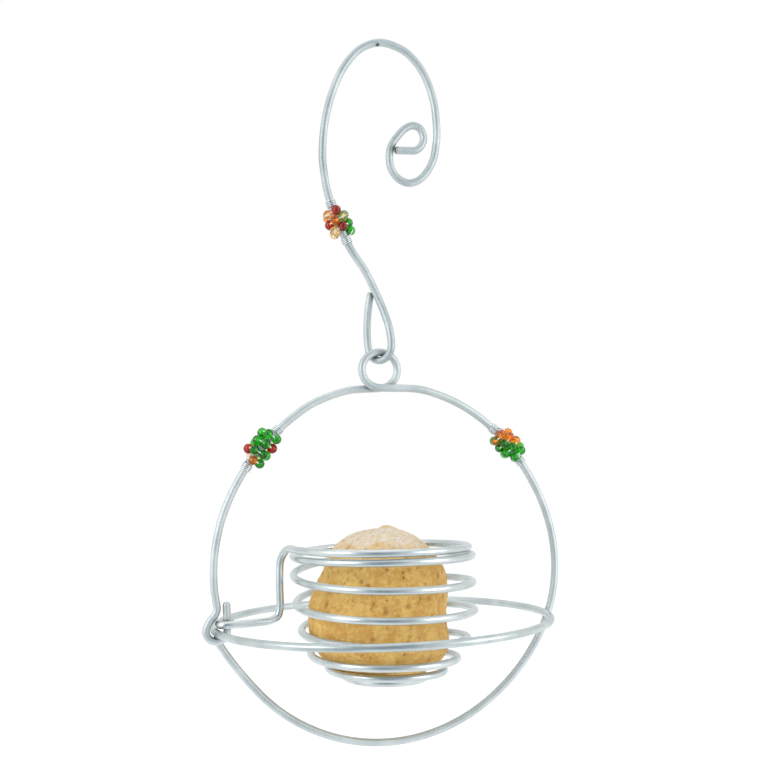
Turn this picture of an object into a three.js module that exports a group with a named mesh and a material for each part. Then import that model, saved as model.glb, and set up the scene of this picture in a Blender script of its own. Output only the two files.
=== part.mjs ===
// Suet feeder of bent galvanised wire, with glass beads, hung from a branch by its own hook.
// Millimetres, +Z up, the front towards -Y and +X to the right.
// The origin lies under the crown of the hook, where a branch carries the feeder.

import * as THREE from 'three';

// Wire and gaps
const WIRE = 3.3;
const BINDING_WIRE = 0.7;
const CLEARANCE = 0.3;
const CROSSING_GAP = 0.55;

// Hanger hook: a crook with a curled tip, a straight stem and a teardrop that holds the eye
const CURL_WIDTH = 22;
const CROOK_WIDTH = 51.7;
const CROOK_RIGHT = { rise: 38.4, fullness: 2.18 };
const CROOK_LEFT = { rise: 49.9, fullness: 1.92 };
const HOOK_LENGTH = 142.4;
const EYE_SIDE = -0.3;
const STEM_FOOT = { across: 0.4, rise: 29 };
const TEARDROP_RADIUS = 6.3;
const TEARDROP_TURN = 52;
const TEARDROP_HEIGHT = 34;

// Hoop, with its hanging eye at the top and its knot eye and stub at the left
const HOOP_RADIUS = 77.1;
const EYE_RADIUS = 7.8;
const EYE_STRETCH = 1.06;
const EYE_SHIFT = -2.1;
const FRAME_TILT = 1.71;
const KNOT_RADIUS = 4.5;
const KNOT_SHIFT = 3.2;
const STUB_HEIGHT = 13;

// Perch ring, level with the knot, its middle a little behind the hoop
const PERCH_DROP = 24.5;
const PERCH_BACK = 4.0;

// Suet ball, egg shaped with its widest part low down
const BALL_RADIUS = 30.2;
const BALL_BELOW = 22.7;
const BALL_ABOVE = 40.6;
const BALL_FULLNESS = 2.3;
const BALL_SHIFT = -2.9;

// Cage: an arm from the stub, close turns at the rim, open turns round the ball and a coiled floor
const CAGE_ROOM = 8.7;
const CAGE_SHIFT = -3.2;
const RIM_HEIGHT = 9.2;
const RIM_PITCH = 4.0;
const BODY_PITCH = 12.2;
const LEAN_TURN = 0.15;
const ARM_REACH = 7.1;

// Bead clusters: where each one sits, and the step between its turns in bead diameters
const HOOK_CLUSTER = { share: 0.5, pitch: 0.9 };
const LEFT_CLUSTER = { angle: 136.4, pitch: 1.05 };
const RIGHT_CLUSTER = { angle: 42.25, pitch: 0.96 };
const BEAD_DIAMETER = 4.1;
const BEAD_LENGTH = 3.3;
const BEAD_HOLE = 1.4;
const BEADS_PER_TURN = 5.5;
const BINDING_TURNS = 2;

// Facets
const WIRE_SIDES = 8;
const COIL_SIDES = 6;
const BINDING_SIDES = 5;
const WINDING_STEPS = 8;
const BEND_STEP = THREE.MathUtils.degToRad(15);
const WIRE_STEP = 7.5;
const COIL_STEP = 10.5;
const BEAD_FACETS = 8;
const BEAD_BANDS = 4;
const BALL_FACETS = 24;

// Centre distances of two wires that lie against each other, and of a wire that crosses itself
const SEAT = WIRE + CLEARANCE;
const CROSSING = WIRE + CROSSING_GAP;

const zinc = { color: 0xb4bfc4, metalness: 0.9, roughness: 0.38 };
const beadColours = {
  green: 0x1f8a2a,
  orange: 0xe8731a,
  amber: 0xd9a35a,
  red: 0x7a1c12,
};

// Bead colours in threading order, from the first wound end to the last
const hookBeads = [
  'red', 'amber', 'orange', 'green', 'green', 'amber', 'orange', 'red',
  'amber', 'green', 'green', 'red', 'amber', 'amber', 'amber', 'green',
];
const leftBeads = [
  'orange', 'green', 'amber', 'amber', 'red', 'green', 'green', 'green',
  'green', 'green', 'green', 'green', 'red', 'amber', 'green', 'green', 'green', 'green',
];
const rightBeads = [
  'orange', 'orange', 'green', 'orange', 'orange', 'orange', 'green', 'green',
  'orange', 'amber', 'orange', 'green', 'green', 'green', 'amber', 'green', 'green', 'green',
];

function vector(x, y, z) {
  return new THREE.Vector3(x, y, z);
}

function radians(degrees) {
  return THREE.MathUtils.degToRad(degrees);
}

function piece(name, geometry, finish) {
  const mesh = new THREE.Mesh(geometry, new THREE.MeshStandardMaterial(finish));
  mesh.name = name;
  return mesh;
}

// A round bar along a list of points, with flat ends, or joined end to end where it is closed.
function bar(points, radius, sides, closed = false) {
  const count = points.length;
  const rings = closed ? count : count - 1;
  const positions = [];
  const faces = [];
  let side = null;
  points.forEach((point, index) => {
    const before = points[closed ? (index + count - 1) % count : Math.max(index - 1, 0)];
    const after = points[closed ? (index + 1) % count : Math.min(index + 1, count - 1)];
    const along = after.clone().sub(before).normalize();
    if (side === null) {
      side = Math.abs(along.y) < 0.9 ? vector(0, 1, 0) : vector(1, 0, 0);
    }
    side.addScaledVector(along, -side.dot(along)).normalize();
    const across = along.clone().cross(side);
    for (let corner = 0; corner < sides; corner += 1) {
      const angle = (2 * Math.PI * corner) / sides;
      const out = side.clone().multiplyScalar(Math.cos(angle)).addScaledVector(across, Math.sin(angle));
      positions.push(...point.clone().addScaledVector(out, radius).toArray());
    }
  });
  const at = (ring, corner) => (ring % count) * sides + (corner % sides);
  for (let ring = 0; ring < rings; ring += 1) {
    for (let corner = 0; corner < sides; corner += 1) {
      faces.push(at(ring, corner), at(ring, corner + 1), at(ring + 1, corner));
      faces.push(at(ring, corner + 1), at(ring + 1, corner + 1), at(ring + 1, corner));
    }
  }
  if (!closed) {
    for (let corner = 1; corner < sides - 1; corner += 1) {
      faces.push(at(0, 0), at(0, corner + 1), at(0, corner));
      faces.push(at(count - 1, 0), at(count - 1, corner), at(count - 1, corner + 1));
    }
  }
  const geometry = new THREE.BufferGeometry();
  geometry.setAttribute('position', new THREE.Float32BufferAttribute(positions, 3));
  geometry.setIndex(faces);
  return geometry;
}

// A smooth wire route through chosen points, measured closely enough for its small bends.
function route(points) {
  const curve = new THREE.CatmullRomCurve3(points, false, 'centripetal');
  curve.arcLengthDivisions = points.length * 20;
  return curve;
}

// Points of a route, one wherever the wire has bent or run far enough.
function steps(curve, longest) {
  const fine = curve.getSpacedPoints(Math.ceil(curve.getLength()) * 2);
  const last = fine.length - 1;
  const kept = [fine[0]];
  let bend = 0;
  let run = 0;
  for (let index = 1; index < last; index += 1) {
    const before = fine[index].clone().sub(fine[index - 1]);
    const after = fine[index + 1].clone().sub(fine[index]);
    bend += before.angleTo(after);
    run += before.length();
    const far = fine[index].distanceTo(fine[last]) > WIRE / 2;
    if (far && (bend >= BEND_STEP || run >= longest)) {
      kept.push(fine[index]);
      bend = 0;
      run = 0;
    }
  }
  kept.push(fine[last]);
  return kept;
}

// Least gap between a wire's own turns, over points half a millimetre apart along it. Each end is
// flat, so the points stop a wire's radius short of it.
function leastGap(name, curve, diameter) {
  const fine = curve.getSpacedPoints(Math.ceil(curve.getLength()) * 2);
  const points = fine.slice(Math.round(diameter), -Math.round(diameter));
  const apart = Math.ceil(diameter * 2 * 2);
  let least = Infinity;
  for (let first = 0; first < points.length; first += 1) {
    for (let second = first + apart; second < points.length; second += 1) {
      least = Math.min(least, points[first].distanceTo(points[second]));
    }
  }
  console.log(`${name}: least gap to itself ${(least - diameter).toFixed(2)} mm`);
}

// Hanger hook. Its crook lies in the hoop's plane and its teardrop is turned across the eye.
const crownZ = WIRE / 2;
const crookX = CROOK_WIDTH / 2;
const eyeZ = crownZ - HOOK_LENGTH;

// Curled tip, from its bar's free end to the right end of the crook, in shares of the curl's width
// from that end
const curlPoints = [
  [-0.857, -0.36], [-0.62, -0.352], [-0.43, -0.33], [-0.32, -0.225], [-0.28, -0.07], [-0.355, 0.105],
  [-0.5, 0.155], [-0.645, 0.1], [-0.8, -0.055], [-0.942, -0.265], [-0.99, -0.5], [-0.945, -0.745], [-0.79, -0.93],
  [-0.59, -0.995], [-0.38, -0.925], [-0.19, -0.725], [-0.07, -0.475], [-0.02, -0.21],
].map(([x, z]) => vector(crookX + CURL_WIDTH * x, 0, crownZ - CROOK_RIGHT.rise + CURL_WIDTH * z));

// Bend below the crook's left end, in shares of half its width and of the hook's length
const stemPoints = [
  [-0.97, 0.41], [-0.886, 0.482], [-0.534, 0.629], [-0.263, 0.7],
].map(([x, z]) => vector(crookX * x, 0, crownZ - HOOK_LENGTH * z));

function crookPoint(degrees) {
  const { rise, fullness } = degrees < 90 ? CROOK_RIGHT : CROOK_LEFT;
  const across = Math.cos(radians(degrees));
  const up = Math.sin(radians(degrees));
  return vector(
    crookX * Math.sign(across) * Math.abs(across) ** (2 / fullness),
    0,
    crownZ - rise + rise * Math.abs(up) ** (2 / fullness),
  );
}

function teardropPoint(reach, rise) {
  const turn = radians(TEARDROP_TURN);
  return vector(EYE_SIDE + reach * Math.cos(turn), -reach * Math.sin(turn), eyeZ + rise);
}

const teardropFoot = EYE_RADIUS - SEAT;

function teardropBend(degrees) {
  const reach = TEARDROP_RADIUS * Math.sin(radians(degrees));
  const rise = TEARDROP_RADIUS * (1 - Math.cos(radians(degrees)));
  return teardropPoint(reach, teardropFoot + rise);
}

const stemFoot = vector(EYE_SIDE + STEM_FOOT.across, 0, eyeZ + STEM_FOOT.rise);
const tipLevel = (TEARDROP_HEIGHT - STEM_FOOT.rise) / (stemPoints.at(-1).z - stemFoot.z);
const stemByTip = stemFoot.clone().lerp(stemPoints.at(-1), tipLevel);
const hookRoute = route([
  ...curlPoints,
  ...[0, 20, 40, 55, 70, 90, 110, 125, 140, 160, 180].map(crookPoint),
  ...stemPoints,
  stemFoot,
  stemFoot.clone().add(vector(TEARDROP_RADIUS * 0.32, -TEARDROP_RADIUS * 0.32, -STEM_FOOT.rise * 0.23)),
  stemFoot.clone().add(vector(TEARDROP_RADIUS * 0.44, -TEARDROP_RADIUS * 0.62, -STEM_FOOT.rise * 0.38)),
  ...[90, 60, 30, 0, -30, -60, -90].map(teardropBend),
  teardropPoint(-TEARDROP_RADIUS * 1.08, teardropFoot + TEARDROP_RADIUS * 2),
  vector(EYE_SIDE - TEARDROP_RADIUS * 0.66, TEARDROP_RADIUS * 0.6, eyeZ + TEARDROP_HEIGHT * 0.78),
  stemByTip.clone().add(vector(-SEAT * 0.25, SEAT, 0)),
]);
const hook = piece('hanger_hook', bar(steps(hookRoute, WIRE_STEP), WIRE / 2, WIRE_SIDES), zinc);
leastGap('hanger_hook', hookRoute, WIRE);

// Hoop, in its own plane with its middle at zero. It runs from the stub through the knot eye, up
// the left side, once round the hanging eye, down the right side and back behind the knot.
const perchZ = -PERCH_DROP;
const hoopX = Math.sqrt(HOOP_RADIUS ** 2 - perchZ ** 2);
const knotX = -(hoopX + KNOT_SHIFT);
const knotZ = perchZ - SEAT + KNOT_RADIUS;
const stubX = knotX + KNOT_RADIUS;
const hangingEye = vector(EYE_SHIFT, 0, Math.sqrt((HOOP_RADIUS + EYE_RADIUS) ** 2 - EYE_SHIFT ** 2));
const hoopEnd = vector(knotX, CROSSING, perchZ - WIRE / 2 - CLEARANCE);

// Angle round the hoop, and how far its hand bent wire lies outside a true circle there, in
// thousandths of the radius
const hoopBends = [
  [-153, 31], [-144, 16], [-130, 13], [-88, -1], [-50, -8], [-10, 12], [30, -16],
  [46, -10], [75, 6], [108, 11], [116, 8], [126, -6], [146, -13.5], [165, -9], [186, 0],
];

// Value of one column of a list of stations, on a smooth curve through them.
function along(stations, place, column) {
  const last = stations.length - 1;
  const next = Math.min(Math.max(stations.findIndex((station) => station[0] >= place), 1), last);
  const slope = (index) => {
    const before = stations[Math.max(index - 1, 0)];
    const after = stations[Math.min(index + 1, last)];
    return (after[column] - before[column]) / (after[0] - before[0]);
  };
  const from = stations[next - 1];
  const to = stations[next];
  const width = to[0] - from[0];
  const part = (place - from[0]) / width;
  const rest = 1 - part;
  const ends = from[column] * rest * rest * (1 + 2 * part) + to[column] * part * part * (1 + 2 * rest);
  return ends + width * part * rest * (slope(next - 1) * rest - slope(next) * part);
}

function hoopPoint(degrees, depth = 0) {
  const radius = HOOP_RADIUS * (1 + along(hoopBends, degrees, 1) / 1000);
  return vector(radius * Math.cos(radians(degrees)), depth, radius * Math.sin(radians(degrees)));
}

function knotPoint(degrees) {
  const out = vector(Math.cos(radians(degrees)), 0, Math.sin(radians(degrees)));
  return vector(knotX, 0, knotZ).addScaledVector(out, KNOT_RADIUS);
}

function eyePoint(degrees) {
  const depth = CROSSING * (0.25 - degrees / 360);
  const out = vector(EYE_STRETCH * Math.cos(radians(degrees)), 0, Math.sin(radians(degrees)));
  return hangingEye.clone().addScaledVector(out, EYE_RADIUS).setY(depth);
}

function sweep(from, to, count) {
  return Array.from({ length: count + 1 }, (unused, index) => from + ((to - from) * index) / count);
}

const hoopRoute = route([
  vector(stubX, 0, perchZ + STUB_HEIGHT),
  vector(stubX, 0, perchZ + STUB_HEIGHT / 2),
  ...sweep(0, -180, 6).map(knotPoint),
  vector(knotX - KNOT_RADIUS * 0.62, 0, knotZ + KNOT_RADIUS * 0.92),
  vector(knotX - KNOT_RADIUS * 0.16, 0, knotZ + KNOT_RADIUS * 1.42),
  vector(knotX + KNOT_RADIUS * 0.08, 0, knotZ + KNOT_RADIUS * 1.95),
  vector(knotX + KNOT_RADIUS * 0.02, 0, knotZ + KNOT_RADIUS * 2.8),
  ...sweep(185, 135, 8).map((degrees) => hoopPoint(degrees)),
  ...sweep(129, 101, 4).map((degrees) => hoopPoint(degrees, (CROSSING / 2) * (1 - (degrees - 101) / 34))),
  ...sweep(-90, 270, 18).map(eyePoint),
  ...sweep(79, 51, 4).map((degrees) => hoopPoint(degrees, (-CROSSING / 2) * (1 - (79 - degrees) / 34))),
  ...sweep(45, -111, 26).map((degrees) => hoopPoint(degrees)),
  ...sweep(-117, -153, 6).map((degrees) => hoopPoint(degrees, CROSSING * ((-111 - degrees) / 42))),
  hoopEnd,
]);
const hoop = piece('hoop', bar(steps(hoopRoute, WIRE_STEP), WIRE / 2, WIRE_SIDES), zinc);
leastGap('hoop', hoopRoute, WIRE);

// Perch ring. It lies in the bottom of the knot eye and against the inside of the hoop's right side.
const perchAngle = THREE.MathUtils.radToDeg(Math.asin(perchZ / HOOP_RADIUS));
const perchRight = hoopPoint(perchAngle).x - SEAT * (HOOP_RADIUS / hoopX);
const perchRadius = Math.hypot((perchRight - knotX) / 2, PERCH_BACK);
const perchPoints = sweep(0, 360, 72).slice(0, -1).map((degrees) => vector(
  (perchRight + knotX) / 2 + perchRadius * Math.cos(radians(degrees)),
  PERCH_BACK + perchRadius * Math.sin(radians(degrees)),
  perchZ,
));
const perch = piece('perch_ring', bar(perchPoints, WIRE / 2, WIRE_SIDES, true), zinc);

// Cage wire. Its arm is hooked round the stub, rises beside the rim and winds down to the floor.
const cageRadius = BALL_RADIUS + CAGE_ROOM;

// Where the winding changes: the turn from the left side, the drop below the rim in rim and body
// pitches, the radius and the sideways shift in shares of the cage's radius, and how far the turn
// hangs down at its front in body pitches
const coilStations = [
  [0.04, 0, 0, 1.051, 0, 0],
  [0.5, 0.5, 0, 0.954, 0, 0],
  [1.0, 1.0, 0, 1, 0, 0],
  [1.5, 1.5, 0, 1, 0, 0.016],
  [2.0, 1.5, 0.5, 1, 0, 0.115],
  [3.0, 1.5, 1.5, 0.99, 0.01, 0.115],
  [3.5, 1.5, 2.0, 0.995, 0.015, 0.115],
  [4.0, 1.5, 2.5, 0.949, 0.026, 0.057],
  [5.0, 1.5, 3.34, 0.841, 0.015, 0.025],
  [6.0, 1.5, 3.86, 0.685, 0.052, 0],
  [7.0, 1.5, 4.18, 0.491, 0.049, 0],
  [8.25, 1.5, 4.29, 0.19, 0.051, 0],
];

function coilPoint(turn) {
  const [rimDrop, bodyDrop, wide, shift, lean] = [1, 2, 3, 4, 5].map(
    (column) => along(coilStations, turn, column),
  );
  const angle = Math.PI * (1 + 2 * turn);
  const radius = cageRadius * wide;
  const hang = lean * Math.cos(2 * Math.PI * (turn - LEAN_TURN));
  return vector(
    CAGE_SHIFT + cageRadius * shift + radius * Math.cos(angle),
    radius * Math.sin(angle),
    RIM_HEIGHT - RIM_PITCH * rimDrop - BODY_PITCH * (bodyDrop + hang),
  );
}

const coilEnd = coilPoint(coilStations.at(-1)[0]);

const armZ = perchZ + SEAT;
const postX = CAGE_SHIFT - cageRadius - ARM_REACH;
const armLoop = sweep(35, 270, 8).map((degrees) => vector(
  stubX + SEAT * Math.cos(radians(degrees)),
  SEAT * Math.sin(radians(degrees)),
  armZ,
));
const cageRoute = route([
  ...armLoop,
  vector((stubX + postX) / 2, -SEAT * 0.6, armZ),
  vector(postX - WIRE * 1.3, -SEAT * 0.2, armZ + WIRE * 0.1),
  vector(postX - WIRE * 0.35, 0, armZ + WIRE * 0.5),
  vector(postX, 0, armZ + WIRE * 1.4),
  vector(postX + WIRE * 0.06, 0, (armZ + RIM_HEIGHT) / 2),
  vector(postX + WIRE * 0.3, -WIRE * 0.12, RIM_HEIGHT - WIRE * 1.3),
  vector(postX + WIRE, -WIRE * 0.9, RIM_HEIGHT),
  ...sweep(coilStations[0][0], coilStations.at(-1)[0], 200).map(coilPoint),
]);
const cage = piece('cage_wire', bar(steps(cageRoute, COIL_STEP), WIRE / 2, COIL_SIDES), zinc);
leastGap('cage_wire', cageRoute, WIRE);

// Suet ball, standing on the coiled floor a little left of the cage's middle.
const ballFoot = coilEnd.z + WIRE / 2 + CLEARANCE;
const ballWaist = ballFoot + BALL_BELOW;
const ballProfile = sweep(-90, 90, 16).map((degrees) => {
  const level = Math.abs(Math.sin(radians(degrees)));
  const height = level * (degrees < 0 ? -BALL_BELOW : BALL_ABOVE);
  const full = Math.max(1 - level ** BALL_FULLNESS, 0) ** (1 / BALL_FULLNESS);
  return new THREE.Vector2(BALL_RADIUS * full, height);
});
const ball = piece('suet_ball', new THREE.LatheGeometry(ballProfile, BALL_FACETS).rotateX(Math.PI / 2), {
  color: 0xc9984c,
  metalness: 0,
  roughness: 0.85,
});
ball.position.set(CAGE_SHIFT + BALL_SHIFT, 0, ballWaist);

// Bead clusters. A thin wire is wound tightly round the main wire, carries beads round it in open
// turns and is wound tightly again.
const beadReach = WIRE / 2 + CLEARANCE + BEAD_DIAMETER / 2;
const windingPitch = BINDING_WIRE + CROSSING_GAP;
const windingReach = (WIRE / 2 + CLEARANCE + BINDING_WIRE / 2) / Math.cos(Math.PI / WINDING_STEPS);
const overWinding = beadReach - windingReach - BINDING_WIRE / 2;
const toWinding = Math.sqrt((BEAD_DIAMETER / 2) ** 2 - overWinding ** 2) + CLEARANCE + BINDING_WIRE / 2;

function mainWireAt(curve, distance) {
  const share = distance / curve.getLength();
  const middle = curve.getPointAt(share);
  const forward = curve.getTangentAt(share);
  const front = vector(0, -1, 0);
  front.addScaledVector(forward, -front.dot(forward)).normalize();
  return { middle, forward, front, side: forward.clone().cross(front) };
}

function nearestDistance(curve, target) {
  const count = Math.ceil(curve.getLength()) * 2;
  const gaps = curve.getSpacedPoints(count).map((point) => point.distanceTo(target));
  return (gaps.indexOf(Math.min(...gaps)) / count) * curve.getLength();
}

// A barrel bead. Its bands bulge between the two ends of its hole.
function beadGeometry() {
  const holeTurn = THREE.MathUtils.radToDeg(Math.acos(BEAD_HOLE / BEAD_DIAMETER));
  const profile = sweep(-holeTurn, holeTurn, BEAD_BANDS).map((degrees) => new THREE.Vector2(
    (BEAD_DIAMETER / 2) * Math.cos(radians(degrees)),
    ((BEAD_LENGTH / 2) * Math.sin(radians(degrees))) / Math.sin(radians(holeTurn)),
  ));
  return new THREE.LatheGeometry([...profile, profile[0].clone()], BEAD_FACETS);
}

function beadCluster(name, curve, centre, pitch, beads) {
  const cluster = new THREE.Group();
  const beadPitch = BEAD_DIAMETER * pitch;
  const beadsLength = ((beads.length - 1) * beadPitch) / BEADS_PER_TURN;
  const beadsStart = nearestDistance(curve, centre) - beadsLength / 2;
  const turnAngle = (2 * Math.PI) / BEADS_PER_TURN;
  const lastAngle = (beads.length - 1) * turnAngle;
  const onMain = (distance, angle, reach) => {
    const { middle, front, side } = mainWireAt(curve, distance);
    const out = front.multiplyScalar(Math.cos(angle)).addScaledVector(side, Math.sin(angle));
    return middle.addScaledVector(out, reach);
  };
  const winding = (start, angle, way) => sweep(0, BINDING_TURNS, BINDING_TURNS * WINDING_STEPS).map(
    (turn) => onMain(start + way * turn * windingPitch, angle + way * turn * 2 * Math.PI, windingReach),
  );
  const points = winding(beadsStart - toWinding, -turnAngle, -1).reverse();
  beads.forEach((colour, index) => {
    const angle = index * turnAngle;
    const distance = beadsStart + (index * beadPitch) / BEADS_PER_TURN;
    const { middle, forward, front, side } = mainWireAt(curve, distance);
    const out = front.clone().multiplyScalar(Math.cos(angle)).addScaledVector(side, Math.sin(angle));
    const seat = middle.clone().addScaledVector(out, beadReach);
    const thread = forward.clone().cross(out).multiplyScalar(beadReach * turnAngle * BEADS_PER_TURN);
    thread.addScaledVector(forward, beadPitch).normalize();
    const half = BEAD_LENGTH / 2 + CLEARANCE / 2;
    points.push(seat.clone().addScaledVector(thread, -half), seat.clone().addScaledVector(thread, half));
    const bead = piece(`${name}_bead_${String(index + 1).padStart(2, '0')}`, beadGeometry(), {
      color: beadColours[colour],
      metalness: 0,
      roughness: 0.12,
    });
    bead.position.copy(seat);
    bead.quaternion.setFromUnitVectors(vector(0, 1, 0), thread);
    cluster.add(bead);
  });
  points.push(...winding(beadsStart + beadsLength + toWinding, lastAngle + turnAngle, 1));
  cluster.add(piece(`${name}_binding_wire`, bar(points, BINDING_WIRE / 2, BINDING_SIDES), zinc));
  leastGap(`${name}_binding_wire`, new THREE.CatmullRomCurve3(points), BINDING_WIRE);
  return cluster;
}

// The hoop, its perch ring, cage, ball and beads hang together from the hanging eye, a little tilted.
const hanging = new THREE.Group();
hanging.position.set(EYE_SIDE, 0, eyeZ);
hanging.rotation.y = -radians(FRAME_TILT);
const hoopGroup = new THREE.Group();
hoopGroup.position.copy(hangingEye).negate();
hoopGroup.add(hoop, perch, cage, ball);
hoopGroup.add(beadCluster('left', hoopRoute, hoopPoint(LEFT_CLUSTER.angle), LEFT_CLUSTER.pitch, leftBeads));
hoopGroup.add(beadCluster('right', hoopRoute, hoopPoint(RIGHT_CLUSTER.angle), RIGHT_CLUSTER.pitch, rightBeads));
hanging.add(hoopGroup);

const feeder = new THREE.Group();
feeder.add(hook, hanging);
const hookBeadsCentre = stemPoints[1].clone().lerp(stemPoints[2], HOOK_CLUSTER.share);
feeder.add(beadCluster('hook', hookRoute, hookBeadsCentre, HOOK_CLUSTER.pitch, hookBeads));

export default feeder;
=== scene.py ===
import math

import bmesh
import bpy
import numpy as np
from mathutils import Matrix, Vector
from mathutils.kdtree import KDTree


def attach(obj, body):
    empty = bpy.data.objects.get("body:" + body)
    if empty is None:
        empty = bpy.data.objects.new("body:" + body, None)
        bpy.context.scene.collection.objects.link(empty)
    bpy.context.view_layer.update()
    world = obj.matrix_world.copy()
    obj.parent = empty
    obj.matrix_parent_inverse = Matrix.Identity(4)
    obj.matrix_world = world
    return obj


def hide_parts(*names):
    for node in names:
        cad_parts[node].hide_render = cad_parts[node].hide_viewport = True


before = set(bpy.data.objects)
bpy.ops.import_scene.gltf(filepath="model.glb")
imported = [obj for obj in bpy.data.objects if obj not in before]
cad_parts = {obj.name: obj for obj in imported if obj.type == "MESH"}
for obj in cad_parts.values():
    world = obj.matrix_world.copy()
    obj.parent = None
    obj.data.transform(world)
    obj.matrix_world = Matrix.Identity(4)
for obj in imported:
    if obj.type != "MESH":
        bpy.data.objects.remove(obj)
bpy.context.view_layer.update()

# Hanger hook. One length of galvanised steel wire, bent cold round pegs into a curled tip, a crook,
# an S-shaped stem and a teardrop eye. The eye is closed by the wire's own end, beside the stem. The
# zinc has weathered to a satin grey.
MM = 0.001
WIRE = 3.3
WIRE_SIDES = 20
WIRE_STEP = 0.6
CLEARANCE = 0.3
SEAT = WIRE + CLEARANCE
CROWN_Z = WIRE / 2
CURL_WIDTH = 22.0
CROOK_WIDTH = 51.7
CROOK_X = CROOK_WIDTH / 2
CROOK_RIGHT = {"rise": 38.4, "fullness": 2.18}
CROOK_LEFT = {"rise": 49.9, "fullness": 1.92}
CROOK_BENDS = (0, 20, 40, 55, 70, 90, 110, 125, 140, 160, 180)
HOOK_LENGTH = 142.4
EYE_SIDE = -0.3
EYE_Z = CROWN_Z - HOOK_LENGTH
EYE_RADIUS = 7.8
STEM_FOOT_ACROSS = 0.4
STEM_FOOT_RISE = 29.0
TEARDROP_RADIUS = 6.3
TEARDROP_TURN = math.radians(52)
TEARDROP_HEIGHT = 34.0
TEARDROP_FOOT = EYE_RADIUS - SEAT
TEARDROP_BENDS = (90, 60, 30, 0, -30, -60, -90)


def point(x, y, z):
    return np.array([x, y, z], float)


def sweep(first, last, count):
    return np.linspace(first, last, count + 1)


def bent_through(corners, fine=24):
    """The line that a wire takes when it is bent smoothly through these corners."""
    corners = np.array(corners, float)
    before = 2 * corners[0] - corners[1]
    after = 2 * corners[-1] - corners[-2]
    spans = np.vstack([before, corners, after])
    shares = np.linspace(0, 1, fine, endpoint=False)[:, None]
    line = []
    for a, b, c, d in zip(spans, spans[1:], spans[2:], spans[3:]):
        first, middle, last = (math.sqrt(np.linalg.norm(q - p)) for p, q in ((a, b), (b, c), (c, d)))
        leave = middle * ((b - a) / first - (c - a) / (first + middle) + (c - b) / middle)
        arrive = middle * ((c - b) / middle - (d - b) / (middle + last) + (d - c) / last)
        square = 3 * (c - b) - 2 * leave - arrive
        cube = 2 * (b - c) + leave + arrive
        line.append(b + shares * (leave + shares * (square + shares * cube)))
    return np.vstack(line + [corners[-1:]])


def lengths_along(line):
    """How far from the line's start each of its points lies."""
    return np.concatenate([[0], np.cumsum(np.linalg.norm(np.diff(line, axis=0), axis=1))])


def on_line(line, lengths, at):
    """The place, or the places, at these lengths from the line's start."""
    return np.stack([np.interp(at, lengths, line[:, axis]) for axis in range(3)], axis=-1)


def evenly(line, step):
    lengths = lengths_along(line)
    return on_line(line, lengths, np.linspace(0, lengths[-1], max(round(lengths[-1] / step), 2) + 1))


def socket(sockets, key):
    """A node's socket by index, by identifier or by name."""
    if isinstance(key, int):
        return sockets[key]
    return next(s for s in list(sockets) if key in (s.identifier, s.name))


def link(tree, source, into):
    """Links a (node, output) pair to a socket."""
    tree.links.new(socket(source[0].outputs, source[1]), into)


def put(tree, kind, inputs=None, **settings):
    """Adds a node, with its settings, and its inputs as values or as (node, output) pairs."""
    made = tree.nodes.new(kind)
    for name, value in settings.items():
        setattr(made, name, value)
    for key, value in (inputs or {}).items():
        into = socket(made.inputs, key)
        if isinstance(value, tuple) and len(value) == 2 and isinstance(value[0], bpy.types.Node):
            link(tree, value, into)
        else:
            into.default_value = value
    return made


def ways_in(tree, sockets):
    """Gives a tree its named inputs and outputs, and returns its two ends."""
    for name, way, kind in sockets:
        tree.interface.new_socket(name, in_out=way, socket_type=kind)
    return tree.nodes.new("NodeGroupInput"), tree.nodes.new("NodeGroupOutput")


def shown(name, mesh):
    made = bpy.data.objects.new(name, mesh)
    bpy.context.scene.collection.objects.link(made)
    return made


def made_by(tree, base, name, values):
    """Runs a node tree on a base mesh and keeps the result as a plain mesh."""
    modifier = base.modifiers.new("made", "NODES")
    modifier.node_group = tree
    for item in tree.interface.items_tree:
        if item.in_out == "INPUT" and item.name in values:
            modifier[item.identifier] = values[item.name]
    bpy.context.view_layer.update()
    depsgraph = bpy.context.evaluated_depsgraph_get()
    mesh = bpy.data.meshes.new_from_object(
        base.evaluated_get(depsgraph), preserve_all_data_layers=True, depsgraph=depsgraph
    )
    base.modifiers.clear()
    bpy.data.objects.remove(base)
    mesh.name = name
    return shown(name, mesh)


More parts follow.
